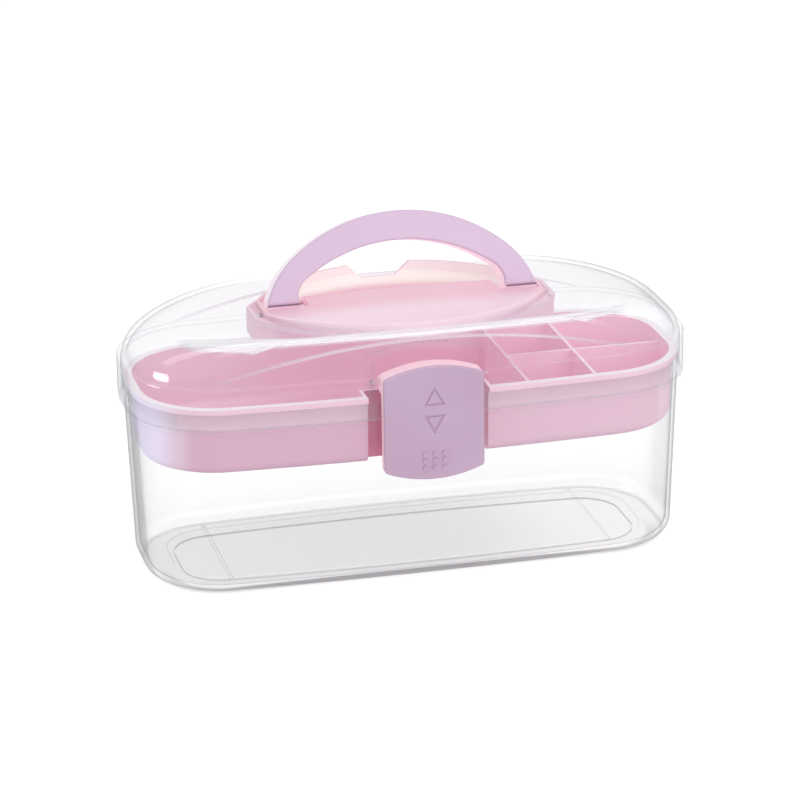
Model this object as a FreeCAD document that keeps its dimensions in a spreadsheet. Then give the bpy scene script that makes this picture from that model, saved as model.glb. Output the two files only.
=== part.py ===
# Clear carry case: deep transparent base, lift-out pink tray, domed transparent lid with a
# folding carry handle on a lens-shaped deck, and a front latch.
# Frame: +X along the case, -Y is the front (latch side), +Z up, origin at the centre of the
# underside. Units are millimetres and degrees.
import FreeCAD, Part
import math
import os
import re
import Sketcher

doc = FreeCAD.newDocument("carry_case")
V = FreeCAD.Vector

# ---------------------------------------------------------------- driving dimensions
DIMENSIONS = [
    # plan shape shared by base, tray and lid
    ("side_bow_radius", 1500.0, "radius of the gently bowed long sides"),
    # base
    ("base_length_half", 133.1, "outer half length at the rim of the base"),
    ("base_width_half", 53.8, "outer half width at the rim of the base"),
    ("base_corner", 41.0, "plan corner radius at the rim of the base"),
    ("base_draft", 3.5, "how much the base wall leans in from rim to floor"),
    ("base_height", 90.4, "height of the base rim"),
    ("base_wall", 1.8, "wall of the base"),
    ("floor_thick", 2.6, "floor of the base"),
    ("foot_fillet", 8.0, "radius between the base wall and the floor, outside"),
    ("foot_ring", 10.0, "width of the flat ring the case stands on"),
    ("foot_recess", 0.9, "depth of the recess inside that ring"),
    ("panel_inset", 14.6, "edge of the raised floor panel, in from the floor outline"),
    ("panel_rise", 0.7, "height of the raised floor panel"),
    ("floor_rib_place", 92.7, "distance of each cross rib on the floor from the middle"),
    ("floor_rib_width", 1.4, "width of a cross rib"),
    ("floor_rib_rise", 0.7, "height of a cross rib above the floor panel"),
    ("bead_drop", 7.6, "top of the stop bead, below the base rim"),
    ("bead_height", 2.2, "height of the stop bead"),
    ("bead_width", 2.0, "how far the stop bead stands out"),
    # tray
    ("tray_gap", 1.0, "clearance between tray and base wall"),
    ("tray_depth", 30.6, "depth of the tray below its rim flange"),
    ("tray_wall", 1.6, "wall of the tray"),
    ("tray_floor", 1.8, "floor of the tray"),
    ("tray_draft", 0.9, "lean of the tray wall"),
    ("tray_fillet", 5.0, "radius between the tray wall and its floor, outside"),
    ("tray_rim_thick", 2.4, "thickness of the rim flange of the tray"),
    ("tray_rim_setback", 0.4, "how far the rim flange stops short of the base outline"),
    ("divider_thick", 1.5, "thickness of the tray dividers"),
    ("divider_drop", 4.0, "top of the dividers below the tray rim"),
    ("divider_one_place", 52.0, "first cross divider"),
    ("divider_two_place", 85.5, "second cross divider"),
    ("divider_long_place", 2.0, "lengthwise divider, behind the middle"),
    # lid
    ("lid_gap", 0.7, "clearance between the base rim and the lid skirt"),
    ("lid_wall", 1.8, "wall of the lid"),
    ("skirt_seat", 0.3, "gap between the skirt and the stop bead"),
    ("skirt_height", 20.9, "height of the lid skirt"),
    ("skirt_step", 2.8, "step in from the skirt to the dome"),
    ("skirt_fillet", 1.6, "rounded upper edge of the skirt"),
    ("dome_rise", 20.0, "height of the dome above the skirt"),
    ("dome_top_length_half", 80.0, "half length of the flat top of the dome"),
    ("dome_top_width_half", 51.4, "half width of the flat top of the dome"),
    ("dome_top_corner", 24.0, "plan corner radius of the flat top"),
    ("arch_radius", 353.0, "radius of the arched crease on the long walls of the lid"),
    ("arch_drop", 4.4, "crown of the arched crease, below the top of the dome"),
    ("arch_relief_depth", 0.8, "how far the panel under the crease stands out"),
    ("centring_rib_place", 58.0, "distance of each centring rib in the front skirt from the middle"),
    ("centring_rib_width", 1.2, "width of a centring rib"),
    ("centring_rib_height", 4.0, "height of a centring rib"),
    ("centring_rib_depth", 0.4, "how far a centring rib stands in from the skirt"),
    # handle deck and well
    ("lens_end_margin", 3.0, "deck at each end, past the outer face of the handle foot"),
    ("lens_width_half", 49.4, "half width of the deck"),
    ("lens_end_width_half", 10.4, "half width of the deck at its cut-off ends"),
    ("lens_gap", 0.3, "clearance of the deck neck in the lid opening"),
    ("deck_rise", 2.7, "crown of the deck above the top of the dome"),
    ("deck_bow_radius", 1300.0, "radius of the deck surface along its length"),
    ("deck_edge_round", 0.6, "rounded upper edge of the deck"),
    ("deck_rim", 1.8, "width of the deck rim behind the handle"),
    ("deck_front_edge", 6.5, "rear edge of the closed front half of the deck"),
    ("slot_margin", 4.4, "slot for a handle foot, inward of the foot"),
    ("notch_top", 26.0, "finger notch, width at the top"),
    ("notch_bottom", 17.0, "finger notch, width at the bottom"),
    ("notch_depth", 4.6, "finger notch, depth below the dome top"),
    ("notch_reach", 12.0, "finger notch, how far it runs in from the rear edge of the deck"),
    ("well_depth", 14.0, "depth of the handle well below the dome top"),
    ("well_wall", 1.8, "wall of the well"),
    ("well_flange", 4.5, "how far the well flange reaches past the neck at its ends"),
    ("well_dome_gap", 0.2, "clearance between the sides of the well and the shoulder of the dome"),
    ("well_flange_thick", 2.6, "thickness of the well flange"),
    # handle
    ("pivot_back", 0.4, "handle pivot, behind the middle"),
    ("pivot_drop", 5.0, "handle pivot, below the top of the dome"),
    ("handle_lean", 18.0, "lean of the handle to the rear when it stands by itself"),
    ("handle_reach", 45.4, "pivot to the crown of the handle"),
    ("outer_crown_radius", 80.6, "outer arc over the crown of the handle"),
    ("outer_shoulder_reach", 51.0, "end of the outer crown arc on each side, from the middle"),
    ("outer_side_margin", 2.0, "span of the outer arcs past the outer face of each foot"),
    ("inner_crown_radius", 77.9, "inner arc under the crown of the handle"),
    ("inner_side_radius", 11.4, "inner arc at each side of the handle"),
    ("handle_band", 14.0, "width of the handle band at the crown"),
    ("handle_depth", 14.0, "thickness of the handle from front to back"),
    ("foot_outer_reach", 65.5, "outer face of each handle foot, from the middle"),
    ("foot_inner_reach", 50.5, "inner face of each handle foot, from the middle"),
    ("handle_foot_drop", 6.4, "underside of each handle foot, below the pivot"),
    ("handle_foot_round", 6.2, "rounding under the feet"),
    ("cover_thick", 2.2, "thickness of the lilac front cover of the handle"),
    ("cover_round", 0.9, "rounded front edge of the cover"),
    ("cover_foot", 5.6, "lower end of the cover, above the pivot"),
    ("handle_shell", 2.2, "wall of the hollow back of the handle"),
    ("handle_hollow", 8.6, "depth of the hollow back of the handle"),
    ("handle_rib_thick", 1.4, "thickness of the ribs in the hollow"),
    ("handle_rib_turn", 16.0, "turn from one rib to the next"),
    ("handle_rib_drop", 0.6, "how far the ribs stop short of the back of the handle"),
    ("pin_diameter", 5.0, "handle pivot pins"),
    ("pin_clearance", 0.1, "running clearance on diameter of each pin"),
    ("pin_inboard", 2.4, "how far the pivot pin reaches past the inner face of the foot"),
    ("pin_seat", 1.2, "how far the pivot pin sits in the end wall of the well"),
    ("bracket_gap", 0.8, "gap between foot and pin bracket"),
    ("bracket_side", 1.6, "material of the bracket on each side of the pin"),
    ("bracket_top", 0.9, "material of the bracket above the pin"),
    # latch
    ("latch_width_half", 24.0, "half width of the latch"),
    ("latch_top", 109.2, "crown of the upper edge of the latch"),
    ("latch_bottom", 53.6, "crown of the lower edge of the latch"),
    ("latch_sag", 5.0, "sag of the curved upper and lower edges"),
    ("latch_front", 62.5, "front face of the latch, forward of the middle"),
    ("latch_skirt_gap", 0.8, "gap between the latch sides and the skirt"),
    ("latch_cover_thick", 1.4, "thickness of the lilac face of the latch"),
    ("latch_wall", 2.0, "wall of the latch"),
    ("latch_corner", 2.2, "rounded corners of the latch"),
    ("latch_face_round", 0.8, "rounded edge of the lilac face of the latch"),
    ("mark_size", 6.0, "circumradius of the two direction triangles"),
    ("mark_up_drop", 16.1, "middle of the upward triangle, below the top of the latch"),
    ("mark_down_drop", 26.9, "middle of the downward triangle, below the top of the latch"),
    ("mark_line", 1.0, "width of the engraved line"),
    ("mark_deep", 0.6, "depth of the engraved line"),
    ("dots_drop", 46.2, "middle of the grip dots, below the top of the latch"),
    ("dot_pitch_across", 4.7, "spacing of the grip dots across"),
    ("dot_pitch_down", 3.5, "spacing of the grip dots downward"),
    ("dot_diameter", 2.2, "diameter of a grip dot"),
    ("dot_rise", 0.8, "how far a grip dot stands out"),
    ("latch_pivot_forward", 53.0, "latch pivot, forward of the middle"),
    ("latch_pivot_height", 100.5, "latch pivot, height"),
    ("latch_pin_diameter", 3.0, "latch pin"),
    ("latch_barrel", 6.8, "barrel around the latch pin, diameter"),
    ("latch_hood", 6.0, "height of the deep upper part of the latch below the pin"),
    ("bay_half", 26.2, "half width of the latch bay in the lid"),
    ("bay_back", 44.0, "rear wall of the bay, forward of the middle"),
    ("bay_floor", 93.4, "floor of the bay"),
    ("bay_roof", 115.4, "crown of the arched roof of the bay"),
    ("bay_roof_radius", 110.0, "radius of the arched roof of the bay"),
    ("catch_height", 62.2, "underside of the catch on the base"),
    ("catch_thick", 2.6, "thickness of the catch"),
    ("catch_half", 16.0, "half width of the catch"),
    ("catch_reach", 3.0, "how far the catch stands out of the base wall"),
    ("hook_gap", 0.6, "gap between the hook and the catch"),
    ("hook_thick", 2.4, "thickness of the hook"),
    ("hook_overlap", 1.2, "how far the hook reaches behind the catch"),
    # rear hinges
    ("hinge_place", 60.0, "middle of each hinge, from the middle of the case"),
    ("hinge_back", 59.6, "hinge axis behind the middle"),
    ("hinge_knuckle", 6.8, "diameter of the hinge knuckles"),
    ("hinge_pin_diameter", 3.0, "hinge pins"),
    ("knuckle_length", 9.0, "length of the lid knuckle"),
    ("ear_length", 4.0, "length of each base ear"),
    ("ear_gap", 0.4, "side gap between ear and knuckle"),
]

sheet = doc.addObject("Spreadsheet::Sheet", "dims")
for row, (alias, value, note) in enumerate(DIMENSIONS, start=1):
    sheet.set("A%d" % row, note)
    sheet.set("B%d" % row, str(value))
    sheet.setAlias("B%d" % row, alias)
doc.recompute()


ALIASES = {alias for alias, value, note in DIMENSIONS}
WORD = re.compile(r"[a-z][a-z_]*")


def bound(formula):
    """A formula on the sheet's aliases, as the document's expressions read it."""
    return WORD.sub(lambda m: "dims." + m.group() if m.group() in ALIASES else m.group(), str(formula))


def value_of(formula):
    """The number that a formula on the sheet's aliases gives now."""
    answer = sheet.evalExpression(bound(formula))
    return float(getattr(answer, "Value", answer))


def bind(item, **formulas):
    """Tie properties of a document object to formulas; x, y and z are its position."""
    paths = {"x": ".Placement.Base.x", "y": ".Placement.Base.y", "z": ".Placement.Base.z"}
    for name, formula in formulas.items():
        item.setExpression(paths.get(name, name), bound(formula))
    return item


# ---------------------------------------------------------------- small builders
def box(name, length, width, height, x, y, z):
    item = doc.addObject("Part::Box", name)
    return bind(item, Length=length, Width=width, Height=height, x=x, y=y, z=z)


def rod(name, diameter, length, x, y, z):
    """A cylinder along +X that starts at x."""
    item = doc.addObject("Part::Cylinder", name)
    item.Placement = FreeCAD.Placement(V(0, 0, 0), FreeCAD.Rotation(V(0, 1, 0), 90))
    return bind(item, Radius="(%s) / 2" % diameter, Height=length, x=x, y=y, z=z)


def cut(name, base, *tools):
    tool = tools[0] if len(tools) == 1 else fuse(name + "_tools", *tools)
    item = doc.addObject("Part::Cut", name)
    item.Base = base
    item.Tool = tool
    return item


def fuse(name, *pieces):
    item = doc.addObject("Part::MultiFuse", name)
    item.Shapes = list(pieces)
    return item


def common(name, one, two):
    item = doc.addObject("Part::Common", name)
    item.Base = one
    item.Tool = two
    return item


def fillet(name, base, radius, pick):
    """Round the edges of base that pick(edge) chooses."""
    doc.recompute()
    item = doc.addObject("Part::Fillet", name)
    item.Base = base
    chosen = [i for i, edge in enumerate(base.Shape.Edges, start=1) if pick(edge)]
    r = value_of(radius)
    item.Edges = [(i, r, r) for i in chosen]
    return item


def at_height(z, tolerance=0.01):
    """Chooses edges that lie wholly at one height."""
    return lambda edge: (abs(edge.BoundBox.ZMin - z) < tolerance
                         and abs(edge.BoundBox.ZMax - z) < tolerance)


def prism(name, sketch, length, direction=V(0, 0, 1)):
    item = doc.addObject("Part::Extrusion", name)
    item.Base = sketch
    item.DirMode = "Custom"
    item.Dir = direction
    item.Solid = True
    return bind(item, LengthFwd=length)


def loft(name, sections, ruled):
    item = doc.addObject("Part::Loft", name)
    item.Sections = sections
    item.Solid = True
    item.Ruled = ruled
    return item


# ---------------------------------------------------------------- sketches
def arc(sketch, centre, radius, start, end):
    circle = Part.Circle(V(centre[0], centre[1], 0), V(0, 0, 1), radius)
    return sketch.addGeometry(Part.ArcOfCircle(circle, start, end), False)


def line(sketch, start, end):
    return sketch.addGeometry(Part.LineSegment(V(*start, 0), V(*end, 0)), False)


def hold(sketch, *rule, name=None, formula=None):
    """Add one constraint, and bind it where it has a formula."""
    number = sketch.addConstraint(Sketcher.Constraint(*rule))
    if formula:
        sketch.renameConstraint(number, name)
        sketch.setExpression("Constraints." + name, bound(formula))
    return number


def case_outline(name, half_length, half_width, corner, z):
    """Rounded rectangle with bowed long sides, flat ends and four equal corners."""
    a, b, r = value_of(half_length), value_of(half_width), value_of(corner)
    bow = value_of("side_bow_radius")
    side_y = b - bow
    corner_y = side_y + math.sqrt((bow - r) ** 2 - (a - r) ** 2)
    turn = math.atan2(corner_y - side_y, a - r)
    half_pi = math.pi / 2
    sketch = doc.addObject("Sketcher::SketchObject", name)
    rear = arc(sketch, (0, side_y), bow, turn, math.pi - turn)
    rear_left = arc(sketch, (r - a, corner_y), r, math.pi - turn, math.pi)
    left = line(sketch, (-a, corner_y), (-a, -corner_y))
    front_left = arc(sketch, (r - a, -corner_y), r, math.pi, math.pi + turn)
    front = arc(sketch, (0, -side_y), bow, math.pi + turn, 2 * math.pi - turn)
    front_right = arc(sketch, (a - r, -corner_y), r, 2 * math.pi - turn, 2 * math.pi)
    right = line(sketch, (a, -corner_y), (a, corner_y))
    rear_right = arc(sketch, (a - r, corner_y), r, 0, turn)
    ring = [rear, rear_left, left, front_left, front, front_right, right, rear_right]
    for here, after in zip(ring, ring[1:] + ring[:1]):
        hold(sketch, "Tangent", here, 2, after, 1)
    for side in (left, right):
        hold(sketch, "Vertical", side)
    for other in (rear_left, front_left, front_right):
        hold(sketch, "Equal", rear_right, other)
    hold(sketch, "Equal", rear, front)
    hold(sketch, "PointOnObject", rear, 3, -2)
    hold(sketch, "PointOnObject", front, 3, -2)
    hold(sketch, "Radius", rear_right, r, name="corner", formula=corner)
    hold(sketch, "Radius", rear, bow, name="bow", formula="side_bow_radius")
    hold(sketch, "DistanceX", -1, 1, right, 1, a, name="half_length", formula=half_length)
    hold(sketch, "DistanceX", left, 1, -1, 1, a, name="left_half", formula=half_length)
    drop = "side_bow_radius - (%s)" % half_width
    hold(sketch, "DistanceY", rear, 3, -1, 1, bow - b, name="rear_centre", formula=drop)
    hold(sketch, "DistanceY", -1, 1, front, 3, bow - b, name="front_centre", formula=drop)
    return bind(sketch, z=z)


def lens_outline(name, grow_length, grow_width, z):
    """Long lens with cut-off ends: two arcs joined by two short straight ends."""
    half_length = LENS_LENGTH_HALF + " + (%s)" % grow_length
    half_width = "lens_width_half + (%s)" % grow_width
    sag = "(%s - lens_end_width_half)" % half_width
    radius = "((%s) ^ 2 + %s ^ 2) / (2 * %s)" % (half_length, sag, sag)
    a, b, r = value_of(half_length), value_of(half_width), value_of(radius)
    end_y = (b - r) + math.sqrt(r * r - a * a)
    turn = math.atan2(end_y - (b - r), a)
    sketch = doc.addObject("Sketcher::SketchObject", name)
    rear = arc(sketch, (0, b - r), r, turn, math.pi - turn)
    left = line(sketch, (-a, end_y), (-a, -end_y))
    front = arc(sketch, (0, r - b), r, math.pi + turn, 2 * math.pi - turn)
    right = line(sketch, (a, -end_y), (a, end_y))
    ring = [rear, left, front, right]
    for here, after in zip(ring, ring[1:] + ring[:1]):
        hold(sketch, "Coincident", here, 2, after, 1)
    for side in (left, right):
        hold(sketch, "Vertical", side)
    hold(sketch, "Equal", rear, front)
    hold(sketch, "PointOnObject", rear, 3, -2)
    hold(sketch, "PointOnObject", front, 3, -2)
    hold(sketch, "Radius", rear, r, name="edge", formula=radius)
    hold(sketch, "DistanceX", -1, 1, right, 1, a, name="half_length", formula=half_length)
    hold(sketch, "DistanceX", left, 1, -1, 1, a, name="left_half", formula=half_length)
    drop = radius + " - (%s)" % half_width
    hold(sketch, "DistanceY", rear, 3, -1, 1, r - b, name="rear_centre", formula=drop)
    hold(sketch, "DistanceY", -1, 1, front, 3, r - b, name="front_centre", formula=drop)
    return bind(sketch, z=z)


# ---------------------------------------------------------------- heights and outlines in use
SKIRT_BOTTOM = "base_height - bead_drop + skirt_seat"
SKIRT_TOP = SKIRT_BOTTOM + " + skirt_height"
DOME_TOP = SKIRT_TOP + " + dome_rise"
DECK_SEAT = DOME_TOP + " - lid_wall"
WELL_BOTTOM = DOME_TOP + " - well_depth"
PIVOT_HEIGHT = DOME_TOP + " - pivot_drop"
TRAY_BOTTOM = "base_height - tray_depth"
TRAY_RIM = "base_height + tray_rim_thick"
SKIRT_OUT = "base_%s + lid_gap + lid_wall"
CATCH_FRONT = "base_width_half - base_draft * (1 - catch_height / base_height) + catch_reach"
LATCH_EDGE = "(latch_width_half ^ 2 + latch_sag ^ 2) / (2 * latch_sag)"
LENS_LENGTH_HALF = "foot_outer_reach + lens_end_margin"
OUTER_SPAN_HALF = "foot_outer_reach + outer_side_margin"
OUTER_SIDE_RADIUS = ("outer_crown_radius * (%s - outer_shoulder_reach)"
                     " / (outer_crown_radius - outer_shoulder_reach)" % OUTER_SPAN_HALF)
SLOT_START = "foot_inner_reach - slot_margin"
WELL_FRONT = "pivot_back - handle_depth / 2 - bracket_gap - well_wall"
WELL_SIDE = "dome_top_width_half - lid_wall - well_dome_gap - lens_width_half"
PIN_START = "foot_inner_reach - pin_inboard"
PIN_LENGTH = LENS_LENGTH_HALF + " + well_flange - well_wall + pin_seat - (%s)" % PIN_START
HINGE_PIN_LENGTH = "knuckle_length + 2 * (ear_gap + ear_length)"
HINGE_END = "hinge_place + (%s) / 2" % HINGE_PIN_LENGTH
HINGE_SAG = "(side_bow_radius - sqrt(side_bow_radius ^ 2 - (%s) ^ 2))" % HINGE_END
OUTLINE_KEYS = ("length_half", "width_half", "corner")
SIDES = (("left", -1), ("right", 1))
FAR = "base_length_half"  # past the middle of the case by more than its half width
OVER = 1.0  # how far a cutting piece runs past what it cuts
SINK = 0.1  # how far pieces that are joined into one solid reach into each other
RIBS_EACH_SIDE = 2  # ribs in the hollow of the handle on each side of its crown
DOME_STEPS = (0, 18, 36, 52, 66, 79, 90)  # degrees round the shoulder of the dome


def outline_of_base(name, grow, z):
    """Case outline of the base rim, grown or shrunk by a formula."""
    a, b, r = ["base_%s + (%s)" % (key, grow) for key in OUTLINE_KEYS]
    return case_outline(name, a, b, r, z)


def ring(name, grow_out, grow_in, height, z):
    """Closed band that follows the case outline."""
    outer = prism(name + "_out", outline_of_base(name + "_o", grow_out, z), height)
    inner = prism(name + "_in", outline_of_base(name + "_i", grow_in, z), height)
    return cut(name, outer, inner)


def dome(name, inset, step, z):
    """Domed block of the lid, inset by a wall; step makes its long sides stand out."""
    sections = []
    for turn in DOME_STEPS:
        run = round(math.cos(math.radians(turn)), 6)
        lift = round(math.sin(math.radians(turn)), 6)
        top = ["dome_top_length_half", "dome_top_width_half - (%s) + (%s)" % (inset, step),
               "dome_top_corner - (%s)" % inset]
        foot = [SKIRT_OUT % key + " - skirt_step - (%s)" % inset for key in OUTLINE_KEYS]
        foot[1] += " + (%s)" % step
        blend = ["(%s) * %s + (%s) * (1 - %s)" % (f, run, t, run) for f, t in zip(foot, top)]
        height = "%s + dome_rise * %s" % (z, lift)
        sections.append(case_outline("%s_%d" % (name, turn), *blend, height))
    return loft(name, sections, False)


def middle_box(name, half_length, width, height, y, z):
    """A box centred on X."""
    return box(name, "2 * (%s)" % half_length, width, height, "-(%s)" % half_length, y, z)


def cylinder_along_y(name, radius, z):
    """A long cylinder along Y that crosses the whole case, its axis at height z."""
    item = doc.addObject("Part::Cylinder", name)
    item.Placement = FreeCAD.Placement(V(0, 0, 0), FreeCAD.Rotation(V(1, 0, 0), 90))
    return bind(item, Radius=radius, Height="2 * " + FAR, y=FAR, z=z)


def handle_rod(name, side):
    """Where a handle pin lies, from inside the foot into the end wall of the well."""
    start = PIN_START if side > 0 else "-(%s) - (%s)" % (PIN_START, PIN_LENGTH)
    return rod(name, "pin_diameter", PIN_LENGTH, start, "pivot_back", PIVOT_HEIGHT)


def hinge_rod(name, side):
    """Where a hinge pin lies, through both ears of the base."""
    return rod(name, "hinge_pin_diameter", HINGE_PIN_LENGTH,
               "%s * hinge_place - (%s) / 2" % (side, HINGE_PIN_LENGTH), "hinge_back",
               SKIRT_BOTTOM)


def latch_rod(name):
    """Where the latch pin lies, through both side walls of the bay."""
    return rod(name, "latch_pin_diameter", "2 * (bay_half + lid_wall)", "-bay_half - lid_wall",
               "-latch_pivot_forward", "latch_pivot_height")


# ---------------------------------------------------------------- base
def make_base():
    floor_shape = outline_of_base("base_floor_outline", "-base_draft", "0")
    rim_shape = outline_of_base("base_rim_outline", "0", "base_height")
    block = loft("base_block", [floor_shape, rim_shape], True)
    body = fillet("base_rounded", block, "foot_fillet", at_height(0))
    in_floor = outline_of_base("base_in_floor", "-base_draft - base_wall", "floor_thick")
    in_rim = outline_of_base("base_in_rim", "-base_wall", "base_height")
    hollow = loft("base_hollow", [in_floor, in_rim], True)
    room = fillet("base_room", hollow, "foot_fillet - base_wall",
                  at_height(value_of("floor_thick")))
    recess = prism("base_foot_recess",
                   outline_of_base("base_foot_line", "-base_draft - foot_fillet - foot_ring", "0"),
                   "foot_recess")
    shell = cut("base_hollowed", body, room, recess)
    panel = prism("base_panel", outline_of_base("base_panel_line", "-base_draft - panel_inset",
                                                "floor_thick - %s" % SINK),
                  "panel_rise + %s" % SINK)
    ribs = [box("base_rib_%d" % i, "floor_rib_width",
                "2 * (base_width_half - base_draft - panel_inset)", "panel_rise + floor_rib_rise",
                "%s * floor_rib_place - floor_rib_width / 2" % side,
                "-(base_width_half - base_draft - panel_inset)", "floor_thick")
            for i, side in enumerate((-1, 1))]
    bead = ring("base_bead", "bead_width", "-base_wall / 2", "bead_height",
                "base_height - bead_drop - bead_height")
    catch = middle_box("base_catch", "catch_half", "catch_reach + base_wall / 2", "catch_thick",
                       "-(%s)" % CATCH_FRONT, "catch_height")
    root_start = "base_width_half - base_wall / 2 - " + HINGE_SAG
    ears = []
    bores = []
    for tag, side in SIDES:
        for outer in (-1, 1):
            start = "%s * hinge_place + %s * (knuckle_length / 2 + ear_gap)" % (side, outer)
            start += " - ear_length" if outer < 0 else ""
            name = "base_ear_%s_%d" % (tag, outer + 1)
            ears.append(rod(name, "hinge_knuckle", "ear_length", start, "hinge_back",
                            SKIRT_BOTTOM))
            ears.append(box(name + "_root", "ear_length", "hinge_back - (%s)" % root_start,
                            "hinge_knuckle / 2", start, root_start,
                            SKIRT_BOTTOM + " - skirt_seat - hinge_knuckle / 2"))
        bores.append(hinge_rod("base_pin_bore_" + tag, side))
    solid = fuse("base_solid", shell, panel, bead, catch, *ribs, *ears)
    return cut("base_shell", solid, *bores)


# ---------------------------------------------------------------- tray
def make_tray():
    outer_low = outline_of_base("tray_low", "-base_wall - tray_gap - tray_draft", TRAY_BOTTOM)
    outer_top = outline_of_base("tray_top", "-base_wall - tray_gap", "base_height")
    block = loft("tray_block", [outer_low, outer_top], True)
    rounded = fillet("tray_rounded", block, "tray_fillet", at_height(value_of(TRAY_BOTTOM)))
    flange = prism("tray_flange", outline_of_base("tray_flange_line", "-tray_rim_setback",
                                                  "base_height"), "tray_rim_thick")
    inner = "-base_wall - tray_gap - tray_wall"
    in_low = outline_of_base("tray_in_low", inner + " - tray_draft", TRAY_BOTTOM + " + tray_floor")
    in_top = outline_of_base("tray_in_top", inner, TRAY_RIM)
    hollow = loft("tray_hollow", [in_low, in_top], True)
    room = fillet("tray_room", hollow, "tray_fillet - tray_wall",
                  at_height(value_of(TRAY_BOTTOM + " + tray_floor")))
    whole = fuse("tray_whole", rounded, flange)
    shell = cut("tray_open", whole, room)
    height = "tray_depth + tray_rim_thick - tray_floor - divider_drop"
    foot = TRAY_BOTTOM + " + tray_floor"
    cross = []
    for name, place in (("one", "divider_one_place"), ("two", "divider_two_place")):
        cross.append(box("tray_divider_" + name, "divider_thick", "2 * base_width_half", height,
                         place + " - divider_thick / 2", "-base_width_half", foot))
    cross.append(box("tray_divider_long", "base_length_half - divider_one_place",
                     "divider_thick", height, "divider_one_place",
                     "divider_long_place - divider_thick / 2", foot))
    dividers = common("tray_dividers", fuse("tray_divider_set", *cross), room)
    bay_half = "bay_half + lid_wall + tray_gap"
    bay_front = "bay_back - lid_wall - tray_gap"
    bay_block = middle_box("tray_bay_block", bay_half + " + tray_wall", FAR,
                           "tray_depth + tray_rim_thick",
                           "-(%s) + tray_wall - %s" % (bay_front, FAR), TRAY_BOTTOM)
    bay = middle_box("tray_bay", bay_half, FAR, "tray_depth + tray_rim_thick + 2 * %s" % OVER,
                     "-(%s) - %s" % (bay_front, FAR), TRAY_BOTTOM + " - %s" % OVER)
    solid = fuse("tray_solid", shell, dividers, common("tray_bay_walls", bay_block, whole))
    return cut("tray", solid, bay)


# ---------------------------------------------------------------- lid
def make_lid():
    skirt_line = outline_of_base("lid_skirt_line", "lid_gap + lid_wall", SKIRT_BOTTOM)
    skirt = fillet("lid_skirt", prism("lid_skirt_block", skirt_line, "skirt_height"),
                   "skirt_fillet", at_height(value_of(SKIRT_TOP)))
    cap = dome("lid_dome", "0", "0", SKIRT_TOP)
    swollen = dome("lid_dome_swollen", "0", "arch_relief_depth", SKIRT_TOP)
    arch = cylinder_along_y("lid_arch", "arch_radius", DOME_TOP + " - arch_drop - arch_radius")
    panel = common("lid_arch_panel", swollen, arch)
    outside = fuse("lid_outside", skirt, cap, panel)
    room_line = outline_of_base("lid_room_line", "lid_gap", SKIRT_BOTTOM)
    low_room = prism("lid_low_room", room_line, "skirt_height - lid_wall")
    high_room = dome("lid_high_room", "lid_wall", "0", SKIRT_TOP + " - lid_wall")
    shell = cut("lid_hollowed", outside, low_room, high_room)
    bay_block = middle_box("lid_bay_block", "bay_half + lid_wall", FAR,
                           "bay_roof - bay_floor + 2 * lid_wall",
                           "-bay_back + lid_wall - %s" % FAR, "bay_floor - lid_wall")
    roof_axis = "bay_roof - bay_roof_radius"
    bay_over = cylinder_along_y("lid_bay_over", "bay_roof_radius + lid_wall", roof_axis)
    bay_walls = common("lid_bay_walls", common("lid_bay_arched", bay_block, bay_over), outside)
    bay_box = middle_box("lid_bay_box", "bay_half", FAR, "bay_roof - bay_floor",
                         "-bay_back - %s" % FAR, "bay_floor")
    bay = common("lid_bay", bay_box, cylinder_along_y("lid_bay_roof", "bay_roof_radius", roof_axis))
    opening = prism("lid_opening", lens_outline("lid_opening_line", "lens_gap", "lens_gap",
                                                DECK_SEAT + " - %s" % OVER),
                    "lid_wall + 2 * %s" % OVER)
    web_start = "base_width_half + lid_gap + lid_wall / 2 - " + HINGE_SAG
    rib_sag = "(side_bow_radius - sqrt(side_bow_radius ^ 2 - centring_rib_place ^ 2))"
    rib_front = "base_width_half + lid_gap + lid_wall / 2 - " + rib_sag
    added = []
    removed = [bay, opening, latch_rod("lid_latch_bore")]
    for tag, side in SIDES:
        added.append(box("lid_rib_" + tag, "centring_rib_width", "lid_wall / 2 + centring_rib_depth",
                         "centring_rib_height",
                         "%s * centring_rib_place - centring_rib_width / 2" % side,
                         "-(%s)" % rib_front, "base_height - centring_rib_height"))
        start = "%s * hinge_place - knuckle_length / 2" % side
        added.append(rod("lid_knuckle_" + tag, "hinge_knuckle", "knuckle_length", start,
                         "hinge_back", SKIRT_BOTTOM))
        added.append(box("lid_knuckle_web_" + tag, "knuckle_length",
                         "hinge_back - (%s)" % web_start, "hinge_knuckle / 2", start,
                         web_start, SKIRT_BOTTOM))
        removed.append(rod("lid_hinge_bore_" + tag, "hinge_pin_diameter + pin_clearance",
                           "knuckle_length", start, "hinge_back", SKIRT_BOTTOM))
    solid = fuse("lid_solid", shell, bay_walls, *added)
    return cut("lid_shell", solid, *removed)


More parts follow.
